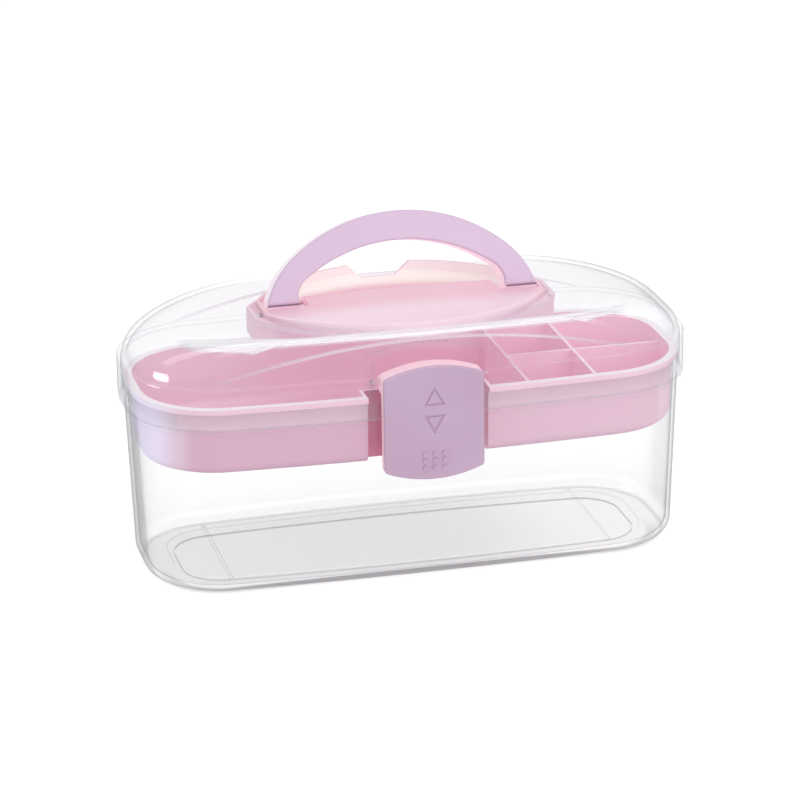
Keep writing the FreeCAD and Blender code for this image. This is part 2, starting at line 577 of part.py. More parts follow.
# ---------------------------------------------------------------- deck and well
def finger_notch(name):
    """Trapezoid notch in the rear edge, under the folded handle's crown."""
    drop = value_of("notch_depth")
    top, low = value_of("notch_top") / 2, value_of("notch_bottom") / 2
    z = value_of(DOME_TOP)
    over = value_of("deck_rise") + OVER
    slope = (top - low) / drop
    corners = [(-low, z - drop), (low, z - drop), (top + slope * over, z + over),
               (-top - slope * over, z + over)]
    sketch = doc.addObject("Sketcher::SketchObject", name + "_line")
    sketch.Placement = FreeCAD.Placement(V(0, 0, 0), FreeCAD.Rotation(V(1, 0, 0), 90))
    edges = [line(sketch, start, end) for start, end in zip(corners, corners[1:] + corners[:1])]
    for here, after in zip(edges, edges[1:] + edges[:1]):
        hold(sketch, "Coincident", here, 2, after, 1)
    hold(sketch, "Horizontal", edges[0])
    hold(sketch, "Horizontal", edges[2])
    hold(sketch, "DistanceX", edges[0], 1, -1, 1, low, name="low_left",
         formula="notch_bottom / 2")
    hold(sketch, "DistanceX", -1, 1, edges[0], 2, low, name="low_right",
         formula="notch_bottom / 2")
    spread = "notch_top / 2 + (notch_top - notch_bottom) / 2 / notch_depth * (deck_rise + %s)"
    hold(sketch, "DistanceX", edges[2], 2, -1, 1, top + slope * over, name="top_left",
         formula=spread % OVER)
    hold(sketch, "DistanceX", -1, 1, edges[2], 1, top + slope * over, name="top_right",
         formula=spread % OVER)
    hold(sketch, "DistanceY", -1, 1, edges[0], 1, z - drop, name="low", formula=DOME_TOP
         + " - notch_depth")
    hold(sketch, "DistanceY", -1, 1, edges[2], 1, z + over, name="high", formula=DOME_TOP
         + " + deck_rise + %s" % OVER)
    slab = prism(name, sketch, "lens_width_half + %s" % OVER, V(0, 1, 0))
    front = middle_box(name + "_front", "notch_top", "lens_width_half - notch_reach",
                       DOME_TOP + " + deck_rise + 2 * %s" % OVER, "0", "0")
    return cut(name + "_rear", slab, front)


def make_deck():
    blank = prism("deck_blank", lens_outline("deck_line", "0", "0", DECK_SEAT),
                  "lid_wall + deck_rise + %s" % OVER)
    crown = cylinder_along_y("deck_crown", "deck_bow_radius",
                             DOME_TOP + " + deck_rise - deck_bow_radius")
    plate = fillet("deck_plate", common("deck_sharp", blank, crown), "deck_edge_round",
                   lambda edge: edge.BoundBox.ZMax > value_of(DOME_TOP)
                   and edge.BoundBox.ZMin > value_of(DECK_SEAT) + SINK)
    height = "lid_wall + deck_rise + 3 * %s" % OVER
    foot = DECK_SEAT + " - %s" % OVER
    inner = prism("deck_window_lens", lens_outline("deck_window_line", "-well_wall", "-deck_rim",
                                                   foot), height)
    rear = middle_box("deck_window_rear", LENS_LENGTH_HALF, FAR, height, "deck_front_edge", foot)
    slots = [box("deck_slot_%d" % i, "foot_outer_reach + bracket_gap - (%s)" % SLOT_START, FAR,
                 height, start, WELL_FRONT + " + well_wall", foot)
             for i, start in enumerate(("-foot_outer_reach - bracket_gap", SLOT_START))]
    window = common("deck_window", inner, fuse("deck_window_area", rear, *slots))
    return cut("handle_deck", plate, window, finger_notch("deck_notch"))


def make_well():
    flange = prism("well_flange_plate",
                   lens_outline("well_flange_line", "well_flange", WELL_SIDE,
                                DECK_SEAT + " - well_flange_thick"), "well_flange_thick")
    depth = "well_depth - lid_wall"
    tub = common("well_tub",
                 prism("well_tub_lens", lens_outline("well_tub_line", "well_flange", WELL_SIDE,
                                                     WELL_BOTTOM), depth),
                 middle_box("well_tub_area", FAR, FAR, depth, WELL_FRONT, WELL_BOTTOM))
    room = common("well_room",
                  prism("well_room_lens", lens_outline("well_room_line", "well_flange - well_wall",
                                                       WELL_SIDE + " - well_wall",
                                                       WELL_BOTTOM + " + well_wall"), depth),
                  middle_box("well_room_area", FAR, FAR, "2 * well_depth",
                             WELL_FRONT + " + well_wall", WELL_BOTTOM))
    shell = cut("well_open", fuse("well_outside", flange, tub), room)
    brackets = []
    bores = []
    for tag, side in SIDES:
        inner = "foot_inner_reach - bracket_gap - well_wall"
        start = inner if side > 0 else "-(%s) - well_wall" % inner
        brackets.append(box("well_bracket_" + tag, "well_wall", "pin_diameter + 2 * bracket_side",
                            "well_depth - pivot_drop + pin_diameter / 2 + bracket_top - well_wall",
                            start, "pivot_back - pin_diameter / 2 - bracket_side",
                            WELL_BOTTOM + " + well_wall"))
        bores.append(handle_rod("well_bore_" + tag, side))
    solid = fuse("well_solid", shell, *brackets)
    return cut("handle_well", solid, finger_notch("well_notch"), *bores)


# ---------------------------------------------------------------- handle
def arch_outline(name, crown, crown_radius, side_radius, half_span):
    """Three-arc arch over the pivot line, with straight legs that run down below it."""
    top, big, small, half = [value_of(f) for f in (crown, crown_radius, side_radius, half_span)]
    low = -value_of("handle_reach")
    crown_z = top - big
    side_z = crown_z + math.sqrt((big - small) ** 2 - (half - small) ** 2)
    turn = math.atan2(side_z - crown_z, half - small)
    sketch = doc.addObject("Sketcher::SketchObject", name)
    sketch.Placement = FreeCAD.Placement(V(0, 0, 0), FreeCAD.Rotation(V(1, 0, 0), 90))
    over = arc(sketch, (0, crown_z), big, turn, math.pi - turn)
    left = arc(sketch, (small - half, side_z), small, math.pi - turn, math.pi)
    left_leg = line(sketch, (-half, side_z), (-half, low))
    foot = line(sketch, (-half, low), (half, low))
    right_leg = line(sketch, (half, low), (half, side_z))
    right = arc(sketch, (half - small, side_z), small, 0, turn)
    for here, after in ((over, left), (left, left_leg), (right_leg, right), (right, over)):
        hold(sketch, "Tangent", here, 2, after, 1)
    for here, after in ((left_leg, foot), (foot, right_leg)):
        hold(sketch, "Coincident", here, 2, after, 1)
    for leg in (left_leg, right_leg):
        hold(sketch, "Vertical", leg)
    hold(sketch, "Horizontal", foot)
    hold(sketch, "Equal", left, right)
    hold(sketch, "PointOnObject", over, 3, -2)
    hold(sketch, "Radius", over, big, name="crown_radius", formula=crown_radius)
    hold(sketch, "Radius", right, small, name="side_radius", formula=side_radius)
    hold(sketch, "DistanceX", foot, 1, -1, 1, half, name="left_span", formula=half_span)
    hold(sketch, "DistanceX", -1, 1, foot, 2, half, name="right_span", formula=half_span)
    hold(sketch, "DistanceY", foot, 1, -1, 1, -low, name="leg", formula="handle_reach")
    hold(sketch, "DistanceY", over, 3, -1, 1, -crown_z, name="crown_centre",
         formula="(%s) - (%s)" % (crown_radius, crown))
    return sketch


def handle_band(name, shrink, front, depth, low):
    """Arched band of the handle about its pivot line, above a height low."""
    across = V(0, 1, 0)
    outer = prism(name + "_outer",
                  arch_outline(name + "_outer_line", "handle_reach - (%s)" % shrink,
                               "outer_crown_radius - (%s)" % shrink,
                               "%s - (%s)" % (OUTER_SIDE_RADIUS, shrink),
                               "%s - (%s)" % (OUTER_SPAN_HALF, shrink)),
                  depth, across)
    inner = prism(name + "_inner",
                  arch_outline(name + "_inner_line", "handle_reach - handle_band + (%s)" % shrink,
                               "inner_crown_radius + (%s)" % shrink,
                               "inner_side_radius + (%s)" % shrink,
                               "foot_inner_reach + (%s)" % shrink),
                  depth, across)
    for item in (outer, inner):
        bind(item, y=front)
    area = box(name + "_area", "4 * %s" % FAR, "2 * %s" % FAR, "handle_reach", "-2 * %s" % FAR,
               "-%s" % FAR, low)
    return common(name, cut(name + "_arch", outer, inner), area)


def make_grip():
    back = "handle_depth / 2"
    band = handle_band("grip_band", "0", "-" + back, "handle_depth", "cover_foot - %s" % OVER)
    feet = []
    for i, start in enumerate(("-foot_outer_reach", "foot_inner_reach")):
        foot = box("grip_foot_%d" % i, "foot_outer_reach - foot_inner_reach", "handle_depth",
                   "cover_foot + handle_foot_drop", start, "-" + back, "-handle_foot_drop")
        feet.append(fillet("grip_foot_round_%d" % i, foot, "handle_foot_round",
                           lambda edge: edge.BoundBox.ZMax < 0 and edge.BoundBox.XLength > 1))
    blank = fuse("grip_blank", band, *feet)
    room = handle_band("grip_hollow", "handle_shell", back + " - handle_hollow",
                       "handle_hollow + %s" % OVER, "cover_foot + 2 * handle_shell")
    seat = handle_band("grip_cover_seat", "-%s" % OVER, "-" + back + " - %s" % OVER,
                       "cover_thick + %s" % OVER, "cover_foot")
    ribs = []
    for number in range(-RIBS_EACH_SIDE, RIBS_EACH_SIDE + 1):
        rib = doc.addObject("Part::Box", "grip_rib_%d" % (number + RIBS_EACH_SIDE))
        centre = V(0, 0, value_of("handle_reach - outer_crown_radius"))
        turn = FreeCAD.Rotation(V(0, 1, 0), number * value_of("handle_rib_turn"))
        corner = V(value_of("-handle_rib_thick / 2"), value_of("-cover_thick"), 0)
        rib.Placement = FreeCAD.Placement(centre + turn.multVec(corner), turn)
        bind(rib, Length="handle_rib_thick", Width="handle_depth / 2 + cover_thick",
             Height="outer_crown_radius")
        ribs.append(rib)
    in_room = common("grip_ribs", fuse("grip_rib_set", *ribs),
                     handle_band("grip_rib_room", "handle_shell / 2", "-cover_thick",
                                 back + " + cover_thick - handle_rib_drop", "cover_foot"))
    shaped = fuse("grip_shaped", cut("grip_hollowed", blank, room, seat), in_room)
    bore = rod("grip_bore", "pin_diameter + pin_clearance", "2 * foot_outer_reach + 2 * %s" % OVER,
               "-foot_outer_reach - %s" % OVER, "0", "0")
    return cut("handle_grip", shaped, bore)


def make_cover():
    plate = handle_band("cover_plate", "0", "-handle_depth / 2", "cover_thick", "cover_foot")
    front = -value_of("handle_depth") / 2
    return fillet("handle_cover", plate, "cover_round",
                  lambda edge: abs(edge.BoundBox.YMin - front) < 0.01
                  and abs(edge.BoundBox.YMax - front) < 0.01)


def lean_handle(item):
    """Put a handle piece on its pivot, leaning to the rear."""
    turn = FreeCAD.Rotation(V(1, 0, 0), -value_of("handle_lean"))
    item.Placement = FreeCAD.Placement(V(0, 0, 0), turn)
    return bind(item, y="pivot_back", z=PIVOT_HEIGHT)


# ---------------------------------------------------------------- latch
def latch_block(name, shrink, front, depth, low="latch_bottom"):
    """Barrel-shaped block: straight sides, curved upper and lower edges."""
    slab = middle_box(name + "_slab", "latch_width_half - (%s)" % shrink, depth,
                      "latch_top - (%s)" % low, front, low)
    top = cylinder_along_y(name + "_top", LATCH_EDGE + " - (%s)" % shrink,
                           "latch_top - " + LATCH_EDGE)
    bottom = cylinder_along_y(name + "_bottom", LATCH_EDGE + " - (%s)" % shrink,
                              "latch_bottom + " + LATCH_EDGE)
    sharp = common(name + "_sharp", common(name + "_upper", slab, top), bottom)
    return fillet(name, sharp, "latch_corner",
                  lambda edge: edge.BoundBox.XLength < 0.01 and edge.BoundBox.ZLength < 0.01)


def make_latch():
    face_back = "latch_front - latch_cover_thick"
    skirt_front = SKIRT_OUT % "width_half" + " + latch_skirt_gap"
    hood_low = "latch_pivot_height - latch_hood"
    shallow = latch_block("latch_shallow", "0", "-(%s)" % face_back,
                          "%s - (%s)" % (face_back, skirt_front))
    deep = latch_block("latch_deep", "0", "-(%s)" % face_back,
                       "%s - latch_pivot_forward" % face_back, hood_low)
    room = latch_block("latch_room", "latch_wall", "-(%s) + latch_wall" % face_back,
                       "latch_front")
    shell = cut("latch_hollowed", fuse("latch_outside", shallow, deep), room)
    barrel = rod("latch_barrel_rod", "latch_barrel", "2 * latch_width_half",
                 "-latch_width_half", "-latch_pivot_forward", "latch_pivot_height")
    web = middle_box("latch_web", "latch_width_half - latch_wall / 2",
                     "%s - latch_wall / 2 - latch_pivot_forward" % face_back, "latch_wall",
                     "-(%s) + latch_wall / 2" % face_back, "latch_pivot_height - latch_wall / 2")
    hook_back = "(%s) - hook_overlap" % CATCH_FRONT
    hook = middle_box("latch_hook", "catch_half", "%s - latch_wall / 2 - (%s)"
                      % (face_back, hook_back), "hook_thick",
                      "-(%s) + latch_wall / 2" % face_back,
                      "catch_height - hook_gap - hook_thick")
    solid = fuse("latch_solid", shell, barrel, web, hook)
    bore = rod("latch_bore", "latch_pin_diameter + pin_clearance",
               "2 * latch_width_half + 2 * %s" % OVER, "-latch_width_half - %s" % OVER,
               "-latch_pivot_forward", "latch_pivot_height")
    return cut("latch_body", solid, bore)


def triangle(name, shrink, turn, drop):
    """Three-sided prism that reaches mark_deep into the face of the latch."""
    item = doc.addObject("Part::Prism", name)
    item.Polygon = 3
    spin = FreeCAD.Rotation(V(1, 0, 0), 90).multiply(FreeCAD.Rotation(V(0, 0, 1), turn))
    item.Placement = FreeCAD.Placement(V(0, 0, 0), spin)
    bind(item, Circumradius="mark_size - 2 * (%s)" % shrink, Height="mark_deep + %s" % OVER)
    return bind(item, y="mark_deep - latch_front", z="latch_top - " + drop)


def make_latch_cover():
    plate = latch_block("latch_plate", "0", "-latch_front", "latch_cover_thick")
    front = -value_of("latch_front")
    face = fillet("latch_face", plate, "latch_face_round",
                  lambda edge: abs(edge.BoundBox.YMin - front) < 0.01
                  and abs(edge.BoundBox.YMax - front) < 0.01)
    marks = []
    for name, turn, drop in (("up", 90, "mark_up_drop"), ("down", -90, "mark_down_drop")):
        marks.append(cut("mark_" + name, triangle("mark_%s_outer" % name, "0", turn, drop),
                         triangle("mark_%s_inner" % name, "mark_line", turn, drop)))
    dots = []
    for across in (-1, 0, 1):
        for down in (-1, 0, 1):
            dot = doc.addObject("Part::Cylinder", "dot_%d_%d" % (across + 1, down + 1))
            dot.Placement = FreeCAD.Placement(V(0, 0, 0), FreeCAD.Rotation(V(1, 0, 0), 90))
            bind(dot, Radius="dot_diameter / 2", Height="dot_rise + mark_deep",
                 x="%d * dot_pitch_across" % across, y="mark_deep - latch_front",
                 z="latch_top - dots_drop - %d * dot_pitch_down" % down)
            dots.append(dot)
    return cut("latch_cover", fuse("latch_face_dots", face, *dots), *marks)


nodes = {
    "base_shell": make_base(),
    "tray": make_tray(),
    "lid_shell": make_lid(),
    "handle_deck": make_deck(),
    "handle_well": make_well(),
    "handle_grip": lean_handle(make_grip()),
    "handle_cover": lean_handle(make_cover()),
    "handle_pin_left": handle_rod("handle_pin_left", -1),
    "handle_pin_right": handle_rod("handle_pin_right", 1),
    "latch_body": make_latch(),
    "latch_cover": make_latch_cover(),
    "latch_pin": latch_rod("latch_pin"),
    "hinge_pin_left": hinge_rod("hinge_pin_left", -1),
    "hinge_pin_right": hinge_rod("hinge_pin_right", 1),
}
for node, item in nodes.items():
    item.Label = node
doc.recompute()

# ---------------------------------------------------------------- checks, then the files
for item in doc.Objects:
    if "Invalid" in item.State or "Error" in item.State:
        raise RuntimeError("%s did not build: %s" % (item.Name, item.State))
for node, item in nodes.items():
    if item.Shape.isNull() or not item.Shape.isValid():
        raise RuntimeError("%s has no valid shape" % node)

os.makedirs("parts", exist_ok=True)
for node, item in nodes.items():
    item.Shape.exportStep("parts/%s.step" % node)
    print("%-18s solids %d  volume %.0f mm3" % (node, len(item.Shape.Solids), item.Shape.Volume))
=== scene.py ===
"""Clear carry case: finishes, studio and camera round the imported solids.

Frame: metres, +X along the case, -Y the front with the latch, +Z up, origin under the middle.
"""

import math

import bpy
from mathutils import Matrix, Vector

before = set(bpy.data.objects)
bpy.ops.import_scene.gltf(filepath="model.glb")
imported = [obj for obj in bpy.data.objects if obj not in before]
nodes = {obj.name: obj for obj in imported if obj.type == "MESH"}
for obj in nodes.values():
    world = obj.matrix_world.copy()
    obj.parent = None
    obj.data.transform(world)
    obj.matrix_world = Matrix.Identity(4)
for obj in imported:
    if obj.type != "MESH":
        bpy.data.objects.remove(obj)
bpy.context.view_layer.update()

MM = 0.001
WHITE = (1.0, 1.0, 1.0, 1.0)
BLACK = (0.0, 0.0, 0.0, 1.0)

# Places on the case, in metres.
BASE_FOOT = (0.0006, 0.0022)        # height over which the foot ring ends
BASE_FLOOR = (0.003, 0.006)         # height over which the floor panel ends
BASE_BEAD = ((0.0790, 0.0800), (0.0850, 0.0860))
LID_LIP = (0.0833, 0.0841)          # height over which the lower lip of the lid ends
LID_SHOULDER = (0.116, 0.119)       # height over which the top of the dome starts
CREASE_RADIUS = 0.353
CREASE_CENTRE_DOWN = 0.2334         # centre of the crease's arc, below the floor
BEND_STRAIGHT = 0.058               # half length of the straight part of the front bend and of its painted highlight
BEND_DEPTH = 0.0502
TRAY_FLANGE = (0.0880, 0.0884)
TRAY_RIM = (0.0924, 0.0926)
TRAY_COLLAR = (0.0815, 0.0830)
HANDLE_PIVOT = 0.119                # height of the handle's pivot
LEAN_COS, LEAN_SIN = 0.951, 0.309   # of the angle by which the handle leans back
COVER_FOOT = (0.0056, 0.0060)       # how far the cover starts above the pivot
CONTACT_HALF_LENGTH, CONTACT_HALF_WIDTH, CONTACT_CORNER = 0.1275, 0.0483, 0.034


# ------------------------------------------------------------------ colours and shader writing
def srgb(red, green, blue):
    """Linear RGBA of a colour given in 0 to 255 display values."""
    def linear(value):
        share = value / 255.0
        return share / 12.92 if share <= 0.04045 else ((share + 0.055) / 1.055) ** 2.4
    return (linear(red), linear(green), linear(blue), 1.0)


class Signal:
    """A socket of a material; arithmetic on it adds Math nodes."""

    def __init__(self, finish, socket):
        self.finish = finish
        self.socket = socket

    def math(self, operation, *others, clamp=False):
        inputs = dict(enumerate((self,) + others))
        settings = {"operation": operation, "use_clamp": clamp}
        return self.finish.add("ShaderNodeMath", settings, inputs)

    def __add__(self, other):
        return self.math("ADD", other)

    __radd__ = __add__

    def __mul__(self, other):
        return self.math("MULTIPLY", other)

    __rmul__ = __mul__

    def __sub__(self, other):
        return self.math("SUBTRACT", other)

    def __rsub__(self, other):
        return self.finish.add("ShaderNodeMath", {"operation": "SUBTRACT"}, {0: other, 1: self})

    def __pow__(self, other):
        return self.math("POWER", other)

    def __neg__(self):
        return self.math("MULTIPLY", -1.0)

    def clamp(self):
        return self.math("ADD", 0.0, clamp=True)

    def between(self, low, high):
        """0 below low, 1 above high, smooth between them."""
        settings = {"interpolation_type": "SMOOTHSTEP"}
        inputs = {"Value": self, "From Min": low, "From Max": high}
        return self.finish.add("ShaderNodeMapRange", settings, inputs)


class Finish:
    """One material, or the world, with one method that adds any node to it."""

    def __init__(self, name, kind="Material"):
        store = bpy.data.worlds if kind == "World" else bpy.data.materials
        self.kind = kind
        self.holder = store.new(name)
        self.holder.use_nodes = True
        self.tree = self.holder.node_tree
        self.tree.nodes.clear()

    def add(self, kind, settings=None, inputs=None, output=0):
        node = self.tree.nodes.new(kind)
        for key, value in (settings or {}).items():
            setattr(node, key, value)
        for key, value in (inputs or {}).items():
            if isinstance(value, Signal):
                self.tree.links.new(value.socket, node.inputs[key])
            else:
                node.inputs[key].default_value = value
        return Signal(self, node.outputs[output])

    def blend(self, share, first, second):
        """Colour between two colours."""
        return self.add("ShaderNodeMix", {"data_type": "RGBA"}, {0: share, 6: first, 7: second}, 2)

    def place(self):
        """Coordinates fixed to the piece, in metres."""
        return self.add("ShaderNodeTexCoord", output="Object")

    def axis(self, vector, name):
        return self.add("ShaderNodeSeparateXYZ", None, {0: vector}, name)

    def normal(self):
        """Direction of the surface, fixed to the piece."""
        return self.add("ShaderNodeTexCoord", output="Normal")

    def facing(self):
        """0 where the surface faces the eye, 1 where it is seen edge on."""
        return self.add("ShaderNodeLayerWeight", None, {"Blend": 0.5}, "Facing")

    def noise(self, scale, detail=2.0, roughness=0.5, stretch=(1.0, 1.0, 1.0)):
        spread = self.add("ShaderNodeMapping", None, {"Vector": self.place(), "Scale": stretch})
        inputs = {"Vector": spread, "Scale": scale, "Detail": detail, "Roughness": roughness}
        return self.add("ShaderNodeTexNoise", None, inputs)

    def bump(self, height, depth):
        return self.add("ShaderNodeBump", None, {"Height": height, "Distance": depth,
                                                 "Strength": 1.0})

    def plastic(self, colour, roughness, **more):
        inputs = {"Base Color": colour, "Roughness": roughness, "IOR": 1.49}
        inputs.update({key.replace("_", " "): value for key, value in more.items()})
        return self.add("ShaderNodeBsdfPrincipled", None, inputs)

    def mix(self, share, first, second):
        return self.add("ShaderNodeMixShader", None, {0: share, 1: first, 2: second})

    def close(self, surface):
        """The material or world, with this surface on its output."""
        node = self.tree.nodes.new("ShaderNodeOutput" + self.kind)
        self.tree.links.new(surface.socket, node.inputs["Surface"])
        return self.holder


# ------------------------------------------------------------------ finishes
def clear_plastic(name, haze, rim_cover, rim_start, face_grey, edge_grey, extra):
    """Thin clear moulding: nearly invisible face on, grey and glossy seen edge on.

    extra(finish) gives a further cover, how much of it is near white (the painted highlights) and
    how grey it is (the painted shade), and how much of the cover seen edge on stays.
    """
    finish = Finish(name)
    edge = finish.facing()
    flow = finish.noise(22.0, 3.0, 0.55, (0.35, 1.0, 1.0))
    rim = edge ** 3.4 * 0.40 + edge.between(rim_start, 0.97) * 0.6
    added, highlight_white, dark, thin = extra(finish)
    cover = (rim * thin * rim_cover + flow * (haze * 0.8) + haze * 0.6 + added).clamp()
    shade = edge.between(0.5, 0.95).math("MAXIMUM", dark)
    grey = finish.blend(shade, face_grey, edge_grey)
    body = finish.plastic(finish.blend(highlight_white, grey, srgb(252, 250, 252)), 0.12, Alpha=cover,
                          Normal=finish.bump(finish.noise(60.0, 2.0), 0.00006))
    shine = finish.add("ShaderNodeBsdfPrincipled", None,
                       {"Base Color": (0.97, 0.98, 1.0, 1.0), "Metallic": 1.0,
                        "Roughness": 0.05})
    fresnel = (edge ** 5.0 * 0.12 + 0.035).clamp()
    return finish.close(finish.mix(fresnel, body, shine))


def base_lines(finish):
    """Painted shade: a darker foot along the bottom of the base and faint grey over the left and
    middle of its floor; the floor is thinner, more so to the right.
    """
    height = finish.axis(finish.place(), "Z")
    side = 1.0 - finish.axis(finish.normal(), "Z").math("ABSOLUTE").between(0.86, 0.97)
    # painted shade along the bottom edge of the base
    foot = (1.0 - height.between(*BASE_FOOT)) * side
    bead_start, bead_end = BASE_BEAD
    bead = height.between(*bead_start) * (1.0 - height.between(*bead_end))
    flat = (1.0 - height.between(*BASE_FLOOR)) * (1.0 - side)
    right = finish.axis(finish.place(), "X").between(0.02, 0.10)
    thin = 1.0 - flat * (right * 0.45 + 0.15) - bead * 0.6
    # painted shade: faint grey over the left and middle of the floor
    floor_shade = flat * (1.0 - right)
    return foot * 0.35 + floor_shade * 0.055, 0.0, foot.math("MAXIMUM", floor_shade * 0.6), thin


def lid_lines(finish):
    """Painted highlights, a white line on the arched crease of the long walls and a white band
    along the front bend of the top; and the lower lip.
    """
    place = finish.place()
    across, depth, height = [finish.axis(place, name) for name in "XYZ"]
    size = across.math("ABSOLUTE")
    down = height + CREASE_CENTRE_DOWN
    away = (across * across + down * down) ** 0.5 - CREASE_RADIUS
    # painted highlight: a thin white line along the arc of the crease
    line = 1.0 - away.math("ABSOLUTE").between(0.0001, 0.0007)
    wall = depth.math("ABSOLUTE").between(0.0465, 0.0475) * height.between(0.1046, 0.1054)
    crease = line * wall * (1.0 - size.between(0.050, 0.105) * 0.75)
    # painted highlight: a white band along the front bend of the top, wider towards the left
    past = (size - BEND_STRAIGHT).math("MAXIMUM", 0.0)
    brink = past * past * 7.9 - depth - BEND_DEPTH
    width = (-across).between(0.050, 0.100) * 0.0024 + 0.0016
    strip = 1.0 - (brink.math("ABSOLUTE") - width).between(-0.0008, 0.0008)
    outside = finish.axis(finish.normal(), "Z").between(0.15, 0.35)
    outside = outside * height.between(*LID_SHOULDER)
    ends = (1.0 - across.between(0.088, 0.104)) * (1.0 - (-across).between(0.106, 0.116))
    bend = strip * outside * ends
    lip = 1.0 - height.between(*LID_LIP)
    highlight_white = (crease + bend).clamp()
    pocket = (1.0 - size.between(0.029, 0.031)) * (-depth).between(0.038, 0.041)
    thin = 1.0 - (pocket * 0.7).math("MAXIMUM", lip * 0.6)
    return crease * 0.48 + bend * 0.80 + lip * 0.16, highlight_white, 0.0, thin


def clouds(finish, scale):
    """Faint uneven patches, 0 to 1."""
    return finish.noise(scale, 3.0).between(0.3, 0.7)


def moulding(finish, colour, roughness, glow_colour, glow, grain_scale, grain_depth):
    """Opaque plastic with a fine grain, and a faint painted glow (emission) standing for light
    that passes through it.
    """
    grain = finish.bump(finish.noise(grain_scale, 2.0), grain_depth)
    return finish.close(finish.plastic(colour, roughness, Emission_Color=glow_colour,
                                       Emission_Strength=glow, Normal=grain))


def tray_plastic():
    """Pink moulding, a little more lilac on its outer walls. Painted highlights make it paler
    along the tops of its rims, painted light pales the band round the top of its outer walls,
    painted shade darkens its front wall behind the latch, and a painted reflection makes its left
    end pale lilac.
    """
    finish = Finish("tray_pink")
    across, depth, height = [finish.axis(finish.place(), name) for name in "XYZ"]
    normal = finish.normal()
    front = -finish.axis(normal, "Y")
    front = (-depth).between(0.038, 0.040) * front.between(0.1, 0.6)
    cloud = clouds(finish, 14.0)
    # up-facing tops of the rims, for the painted highlight
    rim = finish.axis(normal, "Z").between(0.7, 0.95) * height.between(*TRAY_FLANGE)
    top = rim * height.between(*TRAY_RIM)
    inside = finish.blend(cloud, srgb(244, 206, 222), srgb(247, 212, 227))
    inside = finish.blend(across.between(-0.09, -0.03), srgb(236, 202, 218), inside)
    # the outer walls turn more lilac towards the left and, as a painted reflection, pale lilac at
    # the left end
    left = finish.blend((-across).between(0.108, 0.122), srgb(227, 181, 204), srgb(246, 222, 240))
    outside = finish.blend(across.between(-0.06, 0.10), left, srgb(236, 197, 216))
    # painted light: a paler band round the top of the outer walls
    collar = height.between(*TRAY_COLLAR)
    outside = finish.blend(collar * 0.75, outside, srgb(255, 217, 231))
    # painted shade: darker pink on the front wall behind the latch
    recess = (1.0 - across.math("ABSOLUTE").between(0.0300, 0.0312)) * front
    recess = recess * (1.0 - (-depth).between(0.0440, 0.0460))
    walls = finish.blend(front, inside, outside)
    walls = finish.blend(recess, walls, srgb(222, 134, 164))
    # painted reflection: pale lilac on the walls of the left end that face left
    end = (-across).between(0.112, 0.1280) * (-finish.axis(normal, "X")).between(0.2, 0.9)
    walls = finish.blend(end, walls, srgb(238, 226, 246))
    # painted highlight on the tops of the rims
    colour = finish.blend(rim * 0.55 + top * 0.40, walls, srgb(255, 246, 250))
    # painted glow: a quarter of the colour as emission, lilac at the left end
    glow = finish.blend(0.75, colour, BLACK)
    glow = finish.blend(end, glow, srgb(196, 186, 212))
    return moulding(finish, colour, 0.42 + cloud * 0.06, glow, 0.40, 900.0, 0.00003)


def pale_moulding(finish, colour, cloud, glow):
    """Pale pink moulding, shared by the deck, the grip and the latch body."""
    return moulding(finish, colour, 0.30 + cloud * 0.05, colour, glow, 1100.0, 0.00003)


def latch_plastic():
    """Pale pink moulding of the latch body."""
    finish = Finish("latch_pink")
    cloud = clouds(finish, 16.0)
    colour = finish.blend(cloud, srgb(250, 214, 224), srgb(252, 220, 228))
    return pale_moulding(finish, colour, cloud, 0.14)


def grip_plastic():
    """Nearly white pink of the grip; painted shade makes it pink on its front faces under the
    cover, with a painted dark shadow line just below the cover.
    """
    finish = Finish("grip_pink")
    place = finish.place()
    rise = (finish.axis(place, "Z") - HANDLE_PIVOT) * LEAN_COS
    rise = rise + finish.axis(place, "Y") * LEAN_SIN
    front = (-finish.axis(finish.normal(), "Y")).between(0.6, 0.9)
    # painted shade: pink on the front faces under the cover
    low = (1.0 - rise.between(*COVER_FOOT)) * front
    # painted shadow: a dark line just below the lower edge of the cover
    line = rise.between(0.0044, 0.0050) * low
    cloud = clouds(finish, 16.0)
    pale = finish.blend(cloud, srgb(248, 232, 240), srgb(250, 238, 244))
    foot = finish.blend(line, srgb(226, 186, 204), srgb(120, 84, 112))
    return pale_moulding(finish, finish.blend(low, pale, foot), cloud, 0.22)


def rear_wall(finish, depth):
    """1 on the front face of the rear walls of the deck and the well."""
    inward = (-finish.axis(finish.normal(), "Y")).between(0.1, 0.8)
    return depth.between(0.012, 0.030) * inward


def deck_plastic():
    """Pale pink moulding of the deck; painted shade makes it rosier by the finger opening, and
    painted light makes the front face of its rear rim cream.
    """
    finish = Finish("deck_pink")
    depth = finish.axis(finish.place(), "Y")
    cloud = clouds(finish, 16.0)
    pale = finish.blend(cloud, srgb(241, 211, 224), srgb(244, 218, 229))
    # painted shade: rosier towards the finger opening
    rosy_shade = finish.blend(depth.between(-0.030, -0.007), pale, srgb(232, 188, 202))
    # painted light: cream on the front face of the rear rim
    colour = finish.blend(rear_wall(finish, depth), rosy_shade, srgb(250, 246, 240))
    return pale_moulding(finish, colour, cloud, 0.12)


